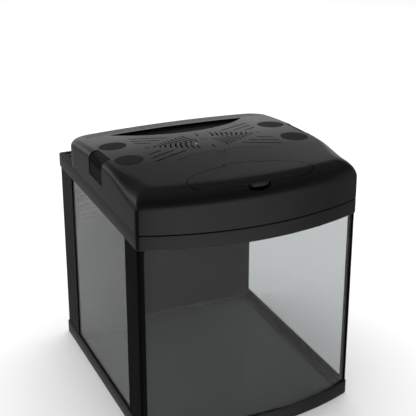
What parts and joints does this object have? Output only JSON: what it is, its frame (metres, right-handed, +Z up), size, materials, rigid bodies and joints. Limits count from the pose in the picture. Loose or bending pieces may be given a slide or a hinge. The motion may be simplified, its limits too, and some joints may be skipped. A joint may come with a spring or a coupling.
{
  "type": "aquarium with hinged hood",
  "caption": "Bow-front glass aquarium with a moulded black hood that hinges at the rear and holds lamps, fans, air slots and a feeding flap.",
  "frame": {"origin": "middle of the bounding box in plan, on the surface that the base frame stands on", "axes": "+X to the right of a person facing the bowed front, +Y to the rear, +Z up"},
  "size_m": [0.38, 0.445, 0.4365],
  "materials": {
    "hood_plastic": "fine satin moulded ABS, slightly glossy",
    "frame_plastic": "satin moulded ABS",
    "cover_plastic": "matt extruded strip",
    "tank_glass": "polished clear float glass",
    "silicone": "smooth black sealant",
    "background": "matt black board",
    "pad_rubber": "matt rubber disc",
    "white_plastic": "white moulded plastic",
    "clear_plastic": "clear acrylic sheet",
    "lamp_glass": "phosphor-coated lamp tube",
    "steel": "stainless pin",
    "filter_plastic": "black moulded plastic",
    "filter_foam": "open-cell filter foam",
    "hose_rubber": "flexible black hose",
    "rotor_plastic": "moulded fan blade plastic",
    "switch_plastic": "polished switch rocker"
  },
  "bodies": {
    "tank": {"base_frame": "frame_plastic", "bottom_glass": "tank_glass", "front_glass": "tank_glass", "left_glass": "tank_glass", "right_glass": "tank_glass", "back_glass": "tank_glass", "background_panel": "background", "front_left_seal": "silicone", "front_right_seal": "silicone", "front_left_cover": "cover_plastic", "rear_left_cover": "cover_plastic", "front_right_trim": "cover_plastic", "rear_right_trim": "cover_plastic", "left_hose_blank": "frame_plastic", "right_hose_blank": "frame_plastic", "top_rim": "frame_plastic", "left_hinge_bracket": "frame_plastic", "right_hinge_bracket": "frame_plastic", "left_hinge_pin": "steel", "right_hinge_pin": "steel", "filter_box": "filter_plastic", "filter_lid": "filter_plastic", "filter_sponge": "filter_foam", "media_basket": "white_plastic", "heater_tube": "tank_glass", "heater_cap": "filter_plastic", "pump_body": "filter_plastic", "pump_cover": "filter_plastic", "riser_hose": "hose_rubber"},
    "hood": {"hood_shell": "hood_plastic", "rear_bar": "hood_plastic", "recess_tray": "hood_plastic", "left_vent_grille": "hood_plastic", "right_vent_grille": "hood_plastic", "rear_left_pad": "pad_rubber", "rear_right_pad": "pad_rubber", "front_left_pad": "pad_rubber", "front_right_pad": "pad_rubber", "flap_pin": "steel", "reflector": "white_plastic", "splash_guard": "clear_plastic", "guard_screw_1": "frame_plastic", "guard_screw_2": "frame_plastic", "front_lamp_holder": "white_plastic", "front_lamp": "lamp_glass", "rear_lamp_holder": "white_plastic", "rear_lamp": "lamp_glass", "left_fan_frame": "rotor_plastic", "right_fan_frame": "rotor_plastic", "rear_bay_cover": "frame_plastic", "lamp_driver": "white_plastic", "switch_housing": "switch_plastic", "lead_grommet": "hose_rubber"},
    "flap": {"feeding_flap": "hood_plastic"},
    "left_rotor": {"left_fan_rotor": "rotor_plastic"},
    "right_rotor": {"right_fan_rotor": "rotor_plastic"},
    "rocker": {"rocker_switch": "switch_plastic"},
    "impeller": {"impeller": "white_plastic"},
    "nozzle": {"return_nozzle": "filter_plastic"}
  },
  "joints": [
    {"name": "hood_hinge", "type": "hinge", "parent": "tank", "child": "hood", "pos_m": [0, 0.17, 0.372], "axis": [-1, 0, 0], "range_deg": [0, 75]},
    {"name": "flap_hinge", "type": "hinge", "parent": "hood", "child": "flap", "pos_m": [0, -0.135, 0.4339], "axis": [-1, 0, 0], "range_deg": [0, 100]},
    {"name": "left_fan_spin", "type": "hinge", "parent": "hood", "child": "left_rotor", "pos_m": [-0.062, 0.016, 0.41], "axis": [0, 0, 1], "continuous": true},
    {"name": "right_fan_spin", "type": "hinge", "parent": "hood", "child": "right_rotor", "pos_m": [0.062, 0.016, 0.41], "axis": [0, 0, 1], "continuous": true},
    {"name": "switch_rock", "type": "hinge", "parent": "hood", "child": "rocker", "pos_m": [-0.06, 0.174, 0.394], "axis": [1, 0, 0], "range_deg": [0, 16]},
    {"name": "impeller_spin", "type": "hinge", "parent": "tank", "child": "impeller", "pos_m": [-0.119, 0.177, 0.0417], "axis": [1, 0, 0], "continuous": true},
    {"name": "nozzle_swivel", "type": "hinge", "parent": "tank", "child": "nozzle", "pos_m": [-0.118, 0.186, 0.346], "axis": [0, 0, 1], "range_deg": [-40, 40]}
  ]
}
